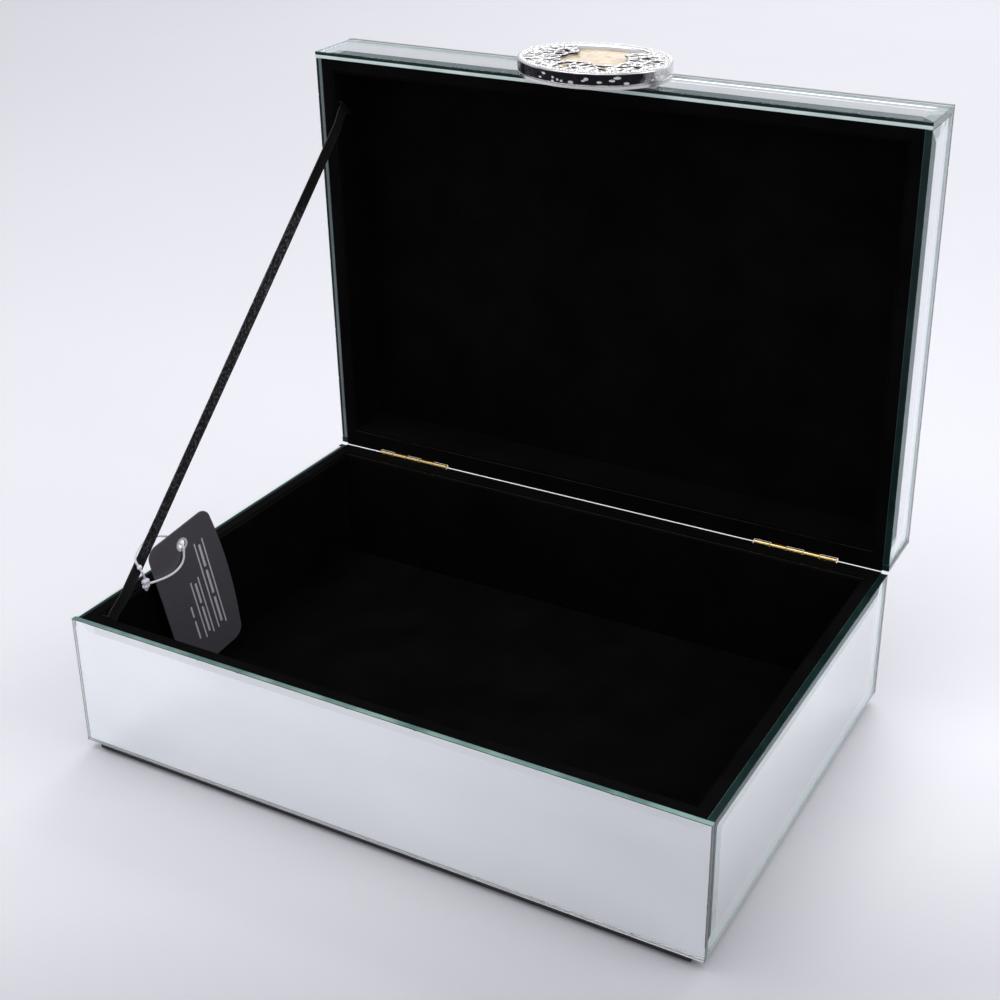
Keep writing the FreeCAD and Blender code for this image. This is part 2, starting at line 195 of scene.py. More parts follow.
def silvering_material():
    material, tree, shader, vector = new_material("mirror_silvering")
    noise_color(tree, shader, vector, 30.0, 3.0, [
        (0.3, (0.955, 0.96, 0.965)), (0.7, (0.975, 0.978, 0.98))])
    set_inputs(shader, Metallic=1.0, Roughness=0.02)
    return material


def edge_material(name, dark, light, gloss):
    """One painted-light tone of the panels' ground edges: the teal is the glass's own colour, and
    each tone's brightness paints in light, shade or reflection.
    """
    material, tree, shader, vector = new_material(name)
    noise_color(tree, shader, vector, 55.0, 3.0, [(0.35, dark), (0.65, light)])
    linked_noise(tree, shader, "Roughness", vector, 160.0, 0.25, 0.45)
    set_inputs(shader, IOR=1.52, Specular_IOR_Level=gloss)
    return material


def clear_edge_material():
    """The seamed edges away from the rims: ground glass that light still passes."""
    material, tree, shader, vector = new_material("mirror_glass_seamed")
    noise_color(tree, shader, vector, 80.0, 3.0, [
        (0.35, (0.78, 0.85, 0.84)), (0.65, (0.87, 0.92, 0.915))])
    set_inputs(shader, Roughness=0.3, IOR=1.52, Transmission_Weight=0.9)
    return material


def velvet_material(name, lint):
    material, tree, shader, vector = new_material(name)
    pile = noise_texture(tree, vector, 2600.0, 3.0)
    nap = noise_texture(tree, vector, 38.0, 3.0)
    color = color_ramp(tree, nap.outputs["Fac"], [
        (0.3, (0.0014, 0.0014, 0.0016)), (0.7, (0.0034, 0.0033, 0.0037))])
    if lint:
        specks = tree.nodes.new("ShaderNodeTexVoronoi")
        specks.inputs["Scale"].default_value = 75.0
        tree.links.new(vector, specks.inputs["Vector"])
        spot = color_ramp(tree, specks.outputs["Distance"], [
            (0.0, (1, 1, 1)), (0.024, (1, 1, 1)), (0.04, (0, 0, 0))])
        patches = noise_texture(tree, vector, 26.0, 2.0)
        patch = color_ramp(tree, patches.outputs["Fac"], [(0.56, (0, 0, 0)), (0.64, (1, 1, 1))])
        both = multiply_colors(tree, spot, patch)
        mixed = tree.nodes.new("ShaderNodeMix")
        mixed.data_type = "RGBA"
        mixed.inputs["B"].default_value = (0.10, 0.10, 0.11, 1)
        tree.links.new(both, mixed.inputs["Factor"])
        tree.links.new(color, mixed.inputs["A"])
        color = mixed.outputs["Result"]
    tree.links.new(color, shader.inputs["Base Color"])
    set_inputs(shader, Roughness=0.95, Specular_IOR_Level=0.03)
    set_inputs(shader, Sheen_Weight=0.012, Sheen_Roughness=0.4)
    set_inputs(shader, Sheen_Tint=(0.8, 0.78, 0.85, 1))
    add_bump(tree, shader, pile.outputs["Fac"], 0.5, 0.0003)
    return material


def mottled_material(name, dark, light, scale, rough, metallic=0.0, bump=0.0, coat=0.0):
    """A surface whose colour and roughness drift between two values over a noise."""
    material, tree, shader, vector = new_material(name)
    mottle = noise_color(tree, shader, vector, scale, 5.0, [(0.32, dark), (0.68, light)])
    linked_noise(tree, shader, "Roughness", vector, scale * 0.6, *rough)
    set_inputs(shader, Metallic=metallic, Coat_Weight=coat, Coat_Roughness=0.08)
    if bump:
        add_bump(tree, shader, mottle.outputs["Fac"], bump, 0.0002)
    return material


def ribbon_material():
    """Black ribbon with a fine dark grey fleck, woven across its width. A per-point attribute
    paints light in: the fleck shows brighter along the lit free run and dark at the shaded ends.
    """
    material, tree, shader, vector = new_material("black_woven_ribbon")
    fleck = noise_texture(tree, vector, 760.0, 2.0, 0.7)
    # Painted light along the ribbon, stored on its points.
    ribbon_painted_light = tree.nodes.new("ShaderNodeAttribute")
    ribbon_painted_light.attribute_name = "ribbon_painted_light"
    total = tree.nodes.new("ShaderNodeMath")
    total.operation = "MULTIPLY"
    tree.links.new(fleck.outputs["Fac"], total.inputs[0])
    tree.links.new(ribbon_painted_light.outputs["Fac"], total.inputs[1])
    color = color_ramp(tree, total.outputs["Value"], [
        (0.40, (0.0022, 0.0022, 0.0025)), (0.52, (0.014, 0.014, 0.016)),
        (0.66, (0.13, 0.13, 0.14))])
    tree.links.new(color, shader.inputs["Base Color"])
    linked_noise(tree, shader, "Roughness", vector, 900.0, 0.5, 0.85)
    add_bump(tree, shader, fleck.outputs["Fac"], 0.7, 0.0004)
    return material


def silver_material(name, dark_spread):
    """Cast silver plate: bright on its crests, with dark polish left in its hollows. Its per-point
    attribute also carries the oval wall's painted reflection and painted glints.
    """
    material, tree, shader, vector = new_material(name)
    cast = noise_texture(tree, vector, 260.0, 4.0)
    # Per point: patina in the openwork's hollows, and painted reflection and glints on the oval's
    # wall.
    patina_and_painted_light = tree.nodes.new("ShaderNodeAttribute")
    patina_and_painted_light.attribute_name = "patina_and_painted_light"
    total = tree.nodes.new("ShaderNodeMath")
    total.operation = "MULTIPLY_ADD"
    total.inputs[1].default_value = dark_spread
    tree.links.new(cast.outputs["Fac"], total.inputs[0])
    tree.links.new(patina_and_painted_light.outputs["Fac"], total.inputs[2])
    color = color_ramp(tree, total.outputs["Value"], [
        (0.35, (0.80, 0.79, 0.78)), (0.62, (0.34, 0.33, 0.34)), (0.85, (0.018, 0.018, 0.022))])
    tree.links.new(color, shader.inputs["Base Color"])
    linked_noise(tree, shader, "Roughness", vector, 180.0, 0.14, 0.34)
    set_inputs(shader, Metallic=1.0)
    add_bump(tree, shader, cast.outputs["Fac"], 0.3, 0.0003)
    return material


def pearl_material():
    material, tree, shader, vector = new_material("cream_gold_pearl")
    swirl = noise_color(tree, shader, vector, 130.0, 6.0, [
        (0.28, (0.62, 0.42, 0.17)), (0.45, (0.80, 0.62, 0.38)),
        (0.58, (0.90, 0.78, 0.60)), (0.75, (0.74, 0.56, 0.32))])
    swirl.inputs["Distortion"].default_value = 1.8
    linked_noise(tree, shader, "Roughness", vector, 90.0, 0.22, 0.4)
    set_inputs(shader, Coat_Weight=0.4, Coat_Roughness=0.12)
    return material


def card_material():
    """Matt printed card, with the faint mottle of its coating."""
    material, tree, shader, vector = new_material("dark_grey_card")
    fibre = noise_color(tree, shader, vector, 900.0, 5.0, [
        (0.3, (0.094, 0.088, 0.100)), (0.7, (0.116, 0.109, 0.124))])
    linked_noise(tree, shader, "Roughness", vector, 200.0, 0.38, 0.5)
    add_bump(tree, shader, fibre.outputs["Fac"], 0.1, 0.0001)
    return material


def nylon_material():
    material, tree, shader, vector = new_material("white_nylon")
    noise_color(tree, shader, vector, 500.0, 3.0, [
        (0.3, (0.90, 0.89, 0.98)), (0.7, (0.96, 0.95, 1.0))])
    linked_noise(tree, shader, "Roughness", vector, 400.0, 0.25, 0.4)
    set_inputs(shader, Sheen_Weight=0.5, Sheen_Roughness=0.6)
    return material


def floor_material():
    """Pale sweep paper with painted shade: a little darker where it runs out in front of the box,
    standing in for the lamps' falloff.
    """
    material, tree, shader, vector = new_material("studio_floor")
    cloud = noise_texture(tree, vector, 3.0, 3.0)
    color = color_ramp(tree, cloud.outputs["Fac"], [
        (0.3, (0.875, 0.872, 0.915)), (0.7, (0.895, 0.892, 0.935))])
    towards_front = tree.nodes.new("ShaderNodeVectorMath")
    towards_front.operation = "DOT_PRODUCT"
    towards_front.inputs[1].default_value = (0.57, -0.82, 0.0)
    tree.links.new(vector, towards_front.inputs[0])
    # Painted shade: the paper's colour darkens towards the front in place of the light falling
    # off.
    painted_shade = color_ramp(tree, towards_front.outputs["Value"], [
        (0.04, (1.0, 1.0, 1.0)), (0.10, (0.92, 0.92, 0.92)), (0.17, (0.72, 0.72, 0.73))])
    tree.links.new(multiply_colors(tree, color, painted_shade), shader.inputs["Base Color"])
    set_inputs(shader, Roughness=0.45)
    return material


glass_clear = glass_material("mirror_glass_clear", 0.0)
glass_bevel = glass_material("mirror_glass_bevel", 0.6)
silvering = silvering_material()
glass_seamed = clear_edge_material()
# The rim edges' one teal ground glass in lit and shaded copies: painted shade, midtone, dim and
# highlight.
edge_painted_shade = edge_material("glass_edge_painted_shade", (0.004, 0.014, 0.014), (0.010, 0.030, 0.029), 0.12)
edge_painted_midtone = edge_material("glass_edge_painted_midtone", (0.09, 0.19, 0.165), (0.28, 0.44, 0.39), 0.4)
edge_painted_dim = edge_material("glass_edge_painted_dim", (0.11, 0.14, 0.145), (0.17, 0.205, 0.21), 0.3)
edge_painted_highlight = edge_material("glass_edge_painted_highlight", (0.62, 0.78, 0.73), (0.80, 0.92, 0.88), 0.5)
velvet = velvet_material("black_velvet", lint=False)
velvet_floor = velvet_material("black_velvet_with_lint", lint=True)
felt = mottled_material("black_felt", (0.006, 0.006, 0.007), (0.016, 0.016, 0.018), 700.0,
                        (0.85, 1.0), bump=0.6)
brass = mottled_material("hinge_brass", (0.62, 0.42, 0.15), (0.86, 0.66, 0.32), 240.0,
                         (0.16, 0.36), metallic=1.0, bump=0.15)
board = mottled_material("black_board", (0.006, 0.006, 0.0065), (0.014, 0.014, 0.015), 320.0,
                         (0.45, 0.7), bump=0.3)
black_wire = mottled_material("black_painted_wire", (0.006, 0.006, 0.007),
                              (0.010, 0.010, 0.011), 800.0, (0.75, 0.9))
black_wire.node_tree.nodes["Principled BSDF"].inputs["Specular IOR Level"].default_value = 0.1
floor_paper = floor_material()
silver_cast = silver_material("cast_silver", 0.42)
pearl = pearl_material()
glue = mottled_material("clear_glue_pad", (0.42, 0.43, 0.45), (0.60, 0.61, 0.63), 300.0,
                        (0.2, 0.4))
card = card_material()
ink = mottled_material("pale_ink", (0.66, 0.65, 0.68), (0.78, 0.77, 0.80), 700.0, (0.45, 0.6))
paper_white = mottled_material("white_paper_ring", (0.72, 0.71, 0.74), (0.82, 0.81, 0.84),
                               600.0, (0.4, 0.6))
nylon = nylon_material()
woven = ribbon_material()


# ---- mesh helpers ---------------------------------------------------------------------------
def full_turn(count):
    return [2 * math.pi * k / count for k in range(count)]


def mesh_object(name, bm, materials, smooth=False):
    bmesh.ops.recalc_face_normals(bm, faces=bm.faces)
    mesh = bpy.data.meshes.new(name)
    bm.to_mesh(mesh)
    bm.free()
    piece = bpy.data.objects.new(name, mesh)
    collection.objects.link(piece)
    for material in materials:
        mesh.materials.append(material)
    for polygon in mesh.polygons:
        polygon.use_smooth = smooth
    return piece


def join_loops(bm, a, b):
    """Closed band of quads between two loops with the same number of points."""
    for k in range(len(a)):
        n = (k + 1) % len(a)
        bm.faces.new([a[k], a[n], b[n], b[k]])


def place(piece, node=None, shut=True, body=None):
    """Puts a piece on its body. One made on the shut lid is turned up with it."""
    if body is None:
        body = "lid" if node in lid_names or node is None else "base"
    if shut and body == "lid":
        piece.data.transform(shut_to_open)
    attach(piece, body)
    if node:
        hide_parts(node)


# ---- bevelled mirrors -----------------------------------------------------------------------
faces = {
    # side: (across, upright, outward) in the row's frame with the lid shut
    "front": (Vector((1, 0, 0)), Vector((0, 0, 1)), Vector((0, -1, 0))),
    "back": (Vector((-1, 0, 0)), Vector((0, 0, 1)), Vector((0, 1, 0))),
    "left": (Vector((0, -1, 0)), Vector((0, 0, 1)), Vector((-1, 0, 0))),
    "right": (Vector((0, 1, 0)), Vector((0, 0, 1)), Vector((1, 0, 0))),
    "top": (Vector((1, 0, 0)), Vector((0, 1, 0)), Vector((0, 0, 1))),
}


def edge_stations(start, end, steps, rng):
    """(position, cut, chip) along one edge: chips here and there, and the hinge edge's cuts."""
    sign = 1 if end > start else -1
    run = abs(end - start)
    marks = [(start, 0.0, 0.0)]
    distance = rng.uniform(0.3, 1.2) * chip_spacing
    while distance < run - 6 * MM:
        half = rng.uniform(0.4, 1.1) * MM
        at = start + sign * distance
        if not any(abs(at - edge) < 3 * MM for edge, _, _ in steps):
            cut = 0.0
            for edge, before, after in steps:
                cut = after if (at - edge) * sign > 0 else cut
            chip = rng.uniform(0.12, 0.38) * MM
            marks += [(at - sign * half, cut, 0.0), (at + sign * half * 0.2, cut, chip),
                      (at + sign * half, cut, 0.0)]
        distance += rng.uniform(0.3, 1.7) * chip_spacing
    for edge, before, after in steps:
        marks += [(edge, before, 0.0), (edge, after, 0.0)]
    order = {edge: k for k, (edge, _, _) in enumerate(steps)}
    return sorted(marks, key=lambda m: (m[0] * sign, order.get(m[0], 0)))


def panel_outline(width, height, cut_side, hinge_spans, rng):
    """The outline as (u, v, side, corner, cut, chip), counter-clockwise from one corner."""
    corners = [(-width / 2, -height / 2), (width / 2, -height / 2),
               (width / 2, height / 2), (-width / 2, height / 2)]
    outline = []
    for side in range(4):
        (u0, v0), (u1, v1) = corners[side], corners[(side + 1) % 4]
        level = side in (0, 2)
        start, end = (u0, u1) if level else (v0, v1)
        steps = []
        if side == cut_side:
            edges = [(-width / 2 + board_edge, rim_cut)]
            for a, b in sorted(hinge_spans):
                edges += [(a, hinge_cut), (b, rim_cut)]
            edges.append((width / 2 - board_edge, 0.0))
            previous = 0.0
            for edge, after in edges:
                steps.append((edge, previous, after))
                previous = after
            if end < start:
                steps = [(edge, after, before) for edge, before, after in reversed(steps)]
        for position, cut, chip in edge_stations(start, end, steps, rng):
            corner = position == start
            u, v = (position, v0) if level else (u0, position)
            outline.append((u, v, side, corner, cut, chip))
    return outline


def bevel_drop(inset, depth):
    return depth * max(0.0, 1 - inset / bevel_width)


# The rim edge of each panel as (next to the silvering, silvered half, outer half), each painted
# with light or shade: darker or paler copies of the one teal ground edge stand in for the
# reflections and shade that fall on it.
rim_painted_light = {
    "base_front_mirror": (edge_painted_midtone, edge_painted_midtone, edge_painted_midtone),
    "base_right_mirror": (edge_painted_midtone, edge_painted_shade, edge_painted_shade),
    "base_left_mirror": (edge_painted_shade, edge_painted_shade, edge_painted_highlight),
    "base_back_mirror": (edge_painted_shade, edge_painted_shade, edge_painted_shade),
    "lid_front_mirror": (edge_painted_highlight, edge_painted_highlight, edge_painted_shade),
    "lid_right_mirror": (edge_painted_dim, edge_painted_shade, edge_painted_shade),
    "lid_left_mirror": (edge_painted_dim, edge_painted_dim, edge_painted_shade),
    "lid_back_mirror": (edge_painted_shade, edge_painted_shade, edge_painted_shade),
    "lid_top_mirror": (edge_painted_dim, edge_painted_dim, edge_painted_dim),
}
inward = [(0, 1), (-1, 0), (0, -1), (1, 0)]


def mirror_panel(node, side, rim_side=None):
    """A bevelled glass panel, silvered on its back, with ground and slightly chipped edges."""
    rng = random.Random(node)
    cut_side = rim_side if side == "back" else None
    low_angle = node.startswith("lid") or side == "right"
    depth = low_bevel_depth if low_angle else bevel_depth
    low, high = shut_box(node)
    across, upright, outward = faces[side]
    centre = (low + high) / 2
    size = high - low
    width = abs(size.dot(across)) - 2 * panel_play
    height = abs(size.dot(upright)) - 2 * panel_play
    thickness = abs(size.dot(outward)) - panel_play
    face = centre + outward * abs(size.dot(outward)) / 2
    hinge_spans = []
    if cut_side is not None:
        for leaf in ("left_hinge_base_leaf", "right_hinge_base_leaf"):
            a, b = shut_box(leaf)
            ends = sorted([(a - centre).dot(across), (b - centre).dot(across)])
            hinge_spans.append((ends[0] - hinge_gap, ends[1] + hinge_gap))
    outline = panel_outline(width, height, cut_side, hinge_spans, rng)
    bm = bmesh.new()

    def ring(inset, depth_of, chip_share):
        loop = []
        for u, v, k, corner, cut, chip in outline:
            du, dv = inward[k]
            step = inset + cut + chip * chip_share
            pu, pv = u + du * step, v + dv * step
            if corner:
                lu, lv = inward[k - 1]
                pu, pv = pu + lu * inset, pv + lv * inset
            loop.append(bm.verts.new(
                face + across * pu + upright * pv - outward * depth_of(inset + cut)))
        return loop

    def flat_ring():
        u_max = width / 2 - bevel_width
        v_max = height / 2 - bevel_width
        loop = []
        for u, v, k, corner, cut, chip in outline:
            du, dv = inward[k]
            pu = min(max(u + du * bevel_width, -u_max), u_max)
            pv = min(max(v + dv * bevel_width, -v_max), v_max)
            loop.append(bm.verts.new(face + across * pu + upright * pv))
        return loop

    loops = [
        ring(arris, lambda i: thickness, 0.0),
        ring(0.0, lambda i: thickness - arris, 0.0),
        ring(0.0, lambda i: thickness * 0.52, 0.0),
        ring(0.0, lambda i: bevel_drop(i, depth) + arris, 0.5),
        ring(arris, lambda i: bevel_drop(i, depth), 1.0),
        flat_ring(),
    ]
    plain_slots = [2, 2, 2, 3, 3]
    rim_slots = [4, 5, 6, 3, 3]
    count = len(outline)
    for a, b, plain_slot, rim_slot in zip(loops, loops[1:], plain_slots, rim_slots):
        for k in range(count):
            n = (k + 1) % count
            on_rim = outline[k][2] == rim_side
            bm.faces.new([a[k], a[n], b[n], b[k]]).material_index = (
                rim_slot if on_rim else plain_slot)
    bm.faces.new(loops[0]).material_index = 1
    bm.faces.new(loops[-1])
    bmesh.ops.remove_doubles(bm, verts=bm.verts, dist=2e-6)
    bmesh.ops.dissolve_degenerate(bm, edges=bm.edges, dist=1e-7)
    bmesh.ops.triangulate(bm, faces=[f for f in bm.faces if len(f.verts) > 4])
    piece = mesh_object(node + "_glass", bm,
                        [glass_clear, silvering, glass_seamed, glass_bevel, *rim_painted_light[node]])
    place(piece, node)


for side in ("front", "back", "left", "right"):
    mirror_panel("base_" + side + "_mirror", side, 2)
    mirror_panel("lid_" + side + "_mirror", side, 0)
mirror_panel("lid_top_mirror", "top")


# ---- velvet linings, rim strips and the felt foot -------------------------------------------
def stations(length, spacing, edges):
    """Positions along a side: a few close to each end, where it rolls over, and even between."""
    count = max(2, round((length - 2 * edges[-1]) / spacing))
    inner = length - 2 * edges[-1]
    middle = [edges[-1] + inner * k / count for k in range(count + 1)]
    return edges[:-1] + middle + [length - e for e in reversed(edges[:-1])]


def velvet_card(node, material):
    """Velvet glued over card: its edges roll over, and its pile is not quite even."""
    low, high = shut_box(node)
    size = high - low
    axis = min(range(3), key=lambda k: size[k])
    u_axis, v_axis = [k for k in range(3) if k != axis]
    centre = (low + high) / 2
    if axis == 2:
        towards = 1 if "floor" in node else -1
    else:
        towards = -1 if centre[axis] > 0 else 1
    thickness = size[axis]
    back = low[axis] if towards > 0 else high[axis]
    roll = 0.7 * MM
    edges = [0.0, 0.12 * MM, 0.35 * MM, 0.7 * MM]
    us = stations(size[u_axis], 7 * MM, edges)
    vs = stations(size[v_axis], 7 * MM, edges)
    bm = bmesh.new()
    shift = Vector((len(node), size[u_axis] * 9, centre[axis] * 7))

    def vertex(u, v, height):
        point = Vector((0, 0, 0))
        point[u_axis] = low[u_axis] + u
        point[v_axis] = low[v_axis] + v
        point[axis] = back + towards * height
        return bm.verts.new(point)

    def surface(u, v):
        edge = min(u, v, size[u_axis] - u, size[v_axis] - v)
        rest = 1 - min(edge / roll, 1.0)
        rolled = roll * (1 - math.sqrt(1 - rest * rest))
        place_in_noise = Vector((u, v, 0)) / (24 * MM) + shift
        uneven = (noise.noise(place_in_noise) * 0.5 + 0.5) * 0.16 * MM
        return thickness - rolled * 0.9 - uneven * (1 - rest)

    front = [[vertex(u, v, surface(u, v)) for v in vs] for u in us]
    rear = {}
    for i in (0, len(us) - 1):
        for j in range(len(vs)):
            rear[i, j] = vertex(us[i], vs[j], 0)
    for j in (0, len(vs) - 1):
        for i in range(1, len(us) - 1):
            rear[i, j] = vertex(us[i], vs[j], 0)
    for i in range(len(us) - 1):
        for j in range(len(vs) - 1):
            bm.faces.new([front[i][j], front[i + 1][j], front[i + 1][j + 1], front[i][j + 1]])
    ring = [(i, 0) for i in range(len(us))]
    ring += [(len(us) - 1, j) for j in range(1, len(vs))]
    ring += [(i, len(vs) - 1) for i in range(len(us) - 2, -1, -1)]
    ring += [(0, j) for j in range(len(vs) - 2, 0, -1)]
    for a, b in zip(ring, ring[1:] + ring[:1]):
        bm.faces.new([front[a[0]][a[1]], front[b[0]][b[1]], rear[b], rear[a]])
    bm.faces.new([rear[k] for k in ring])
    piece = mesh_object(node + "_velvet", bm, [material], smooth=True)
    place(piece, node)


def soft_copy(node, name, material, radius, lips=()):
    """A fabric piece with its CAD node's outline, any lips given as boxes, and round edges."""
    bm = bmesh.new()
    bm.from_mesh(frame["nodes"][node].data)
    if node in lid_names:
        bm.transform(open_to_shut)
    bmesh.ops.remove_doubles(bm, verts=bm.verts, dist=1e-6)
    bmesh.ops.dissolve_limit(bm, angle_limit=math.radians(1), verts=bm.verts, edges=bm.edges)
    if lips:
        for vertex in bm.verts:
            if vertex.co.y > flap_end:
                vertex.co.y += flap_overhang
    for low, high in lips:
        size = high - low
        bmesh.ops.create_cube(bm, size=1.0, matrix=Matrix.Translation((low + high) / 2)
                              @ Matrix.Diagonal((*size, 1)))
    sharp = [e for e in bm.edges if e.calc_face_angle(0) > math.radians(30)]
    bmesh.ops.bevel(bm, geom=sharp, offset=radius, segments=2, profile=0.5,
                    affect="EDGES", clamp_overlap=True)
    bmesh.ops.triangulate(bm, faces=[f for f in bm.faces if len(f.verts) > 4])
    place(mesh_object(name, bm, [material]), node)


def hinge_lips(node):
    """Velvet over both hinge leaves, as boxes in the shut frame."""
    low, high = shut_box(node)
    lips = []
    for leaf in ("left_hinge_base_leaf", "right_hinge_base_leaf"):
        a, b = shut_box(leaf)
        lips.append((Vector((a.x - hinge_gap, a.y + 2 * MM, low.z + 0.03 * MM)),
                     Vector((b.x + hinge_gap, lip_reach, high.z - 0.03 * MM))))
    return lips


for node in frame["nodes"]:
    if node.endswith("_lining"):
        velvet_card(node, velvet_floor if node == "base_floor_lining" else velvet)
    elif node.endswith("_trim"):
        soft_copy(node, node + "_velvet", velvet, 0.15 * MM, hinge_lips(node))
soft_copy("base_felt_pad", "base_felt_foot", felt, 0.25 * MM)


# ---- medallion ------------------------------------------------------------------------------
ring_low, ring_high = shut_box("medallion_ring")
oval_centre = (ring_low + ring_high) / 2
oval_a = (ring_high.x - ring_low.x) / 2
oval_b = (ring_high.z - ring_low.z) / 2
ring_front = ring_low.y
ring_depth = ring_high.y - ring_low.y


def oval_point(angle, inset, depth):
    """A point inset from the oval's rim, depth behind the medallion's front."""
    return Vector((oval_centre.x + (oval_a - inset) * math.cos(angle), ring_front + depth,
                   oval_centre.z + (oval_b - inset) * math.sin(angle)))


# Spots of painted glint on the oval's wall, as (x, y, radius, stretch along x).
glint_rng = random.Random("bright pits")
painted_glint_spots = [(oval_centre.x + glint_rng.uniform(-0.78, 0.78) * oval_a,
                ring_front + glint_rng.uniform(2.4, 5.2) * MM,
                glint_rng.uniform(0.35, 0.8) * MM, glint_rng.uniform(0.9, 2.6)) for _ in range(15)]


def set_layer(piece, name, value_at):
    """Stores a value on each point, which the piece's material reads."""
    layer = piece.data.attributes.new(name, "FLOAT", "POINT")
    for vertex, item in zip(piece.data.vertices, layer.data):
        item.value = value_at(vertex.co)


def painted_wall_reflection(point):
    """Painted reflection on the oval's wall: dark on the side below the rim, away from its ends,
    where the black velvet is painted in as a reflection, with painted highlights on its edges and
    painted glints at scattered pit-like spots.
    """
    side = max(0.0, -(point.z - oval_centre.z) / oval_b)
    off_end = 1 - abs(point.x - oval_centre.x) / oval_a
    depth = (point.y - ring_front) / ring_depth
    band = min(1.0, max(0.0, (depth - 0.16) * 9)) * min(1.0, max(0.0, (0.97 - depth) * 9))
    patch = noise.noise(point / (5 * MM)) * 0.12
    # The dark middle of the wall is a painted reflection of the black velvet. The bright band
    # edges are painted highlights.
    value = (0.86 * min(1.0, side * 2.2) * min(1.0, off_end * 4.5) + patch) * band
    for x, y, radius, long in painted_glint_spots:
        away = math.hypot((point.x - x) / long, point.y - y) / radius
        value = min(value, -0.3 + 1.2 * max(0.0, away - 0.6) / 0.4)
    return value


def build_ring():
    """The oval's wall, with pits and a shallow wave cast into its outside."""
    rng = random.Random("ring")
    count = 640
    # (inset from the rim, depth behind the front), in millimetres, once round the section
    profile = [(0.45, 0.85), (0.10, 1.05)] + [(0.0, 1.4 + 0.25 * k) for k in range(17)]
    profile += [(0.12, 5.8), (0.4, 6.0), (3.6, 6.0), (3.6, 1.5), (3.3, 1.1), (2.6, 0.85),
                (1.6, 0.75)]
    pits = [(rng.uniform(0, 2 * math.pi), rng.uniform(2.2, 5.0) * MM,
             rng.uniform(0.5, 1.5) * MM, rng.uniform(0.25, 0.55) * MM) for _ in range(70)]
    bm = bmesh.new()
    loops = []
    for angle in full_turn(count):
        loop = []
        for inset, depth in profile:
            inset, depth = inset * MM, depth * MM
            dent = 0.0
            if 1.2 * MM < depth < 5.6 * MM and inset < 0.2 * MM:
                spot = oval_point(angle, 0, depth)
                dent = 0.10 * MM * (noise.noise(spot / (4 * MM)) + 0.6)
                for pit_angle, pit_depth, radius, deep in pits:
                    turn = (angle - pit_angle + math.pi) % (2 * math.pi) - math.pi
                    away = math.hypot(turn * 30 * MM, depth - pit_depth)
                    if away < radius:
                        dent += deep * (1 - (away / radius) ** 2) * 0.5
            loop.append(bm.verts.new(oval_point(angle, inset + dent, depth)))
        loops.append(loop)
    for a, b in zip(loops, loops[1:] + loops[:1]):
        join_loops(bm, a, b)
    piece = mesh_object("medallion_oval_ring", bm, [silver_cast], smooth=True)
    set_layer(piece, "patina_and_painted_light", painted_wall_reflection)
    place(piece, "medallion_ring")


def build_beads():
    """The nuggety bead row round the front of the ring."""
    rng = random.Random("beads")
    bm = bmesh.new()
    angle = 0.0
    while angle < 2 * math.pi - 0.02:
        radius = rng.uniform(0.75, 1.15) * MM
        centre = oval_point(angle, radius * 1.1, radius + 0.02 * MM)
        squash = Matrix.Diagonal((rng.uniform(0.9, 1.25), 1.0, rng.uniform(0.85, 1.05), 1))
        turn = Matrix.Rotation(-angle - math.pi / 2 + rng.uniform(-0.5, 0.5), 4, "Y")
        bmesh.ops.create_icosphere(bm, subdivisions=2, radius=radius * 0.93,
                                   matrix=Matrix.Translation(centre) @ turn @ squash)
        speed = math.hypot(oval_a * math.sin(angle), oval_b * math.cos(angle))
        angle += 1.62 * radius / speed
    piece = mesh_object("medallion_bead_row", bm, [silver_cast], smooth=True)
    set_layer(piece, "patina_and_painted_light", lambda point: 0.0)
    place(piece)


def branch_network(rng):
    """The openwork's joints and branches, in shares of the oval: open above its middle."""
    rows = [(1.0, 50), (0.90, 46), (0.78, 38), (0.65, 29), (0.51, 20), (0.37, 12)]
    joints_by_row = []
    for row, (reach, count) in enumerate(rows):
        points = []
        for k in range(count):
            angle = 2 * math.pi * (k + rng.uniform(-0.28, 0.28) + 0.5 * (row % 2)) / count
            wide = reach + (0 if row == 0 else rng.uniform(-0.045, 0.045))
            x, z = wide * math.cos(angle), wide * math.sin(angle)
            opening = 0.24 + 0.30 * (reach - 0.38) + 0.07 * math.sin(7 * angle)
            above = z > -0.10 and abs(x + 0.04) < opening
            deep = row == 5 and z > -0.28
            if row == 0 or not (above or deep):
                points.append((x, z))
        joints_by_row.append(points)
    edges = []
    for outer, inner in zip(joints_by_row, joints_by_row[1:]):
        for x, z in inner:
            near = sorted(outer, key=lambda p: math.hypot(p[0] - x, p[1] - z))
            edges += [((x, z), p) for p in near[:2 if rng.random() < 0.75 else 1]]
    for points in joints_by_row[1:]:
        for k, p in enumerate(points):
            q = points[(k + 1) % len(points)]
            if math.hypot(p[0] - q[0], p[1] - q[1]) < 0.3 and rng.random() < 0.62:
                edges.append((p, q))
    return edges


lattice_voxel = 0.24 * MM
lattice_overlap = 1.7 * MM   # the outermost branches end this far under the ring's inner edge
half_lattice = 0.72 * MM     # half the branches' depth, front to back


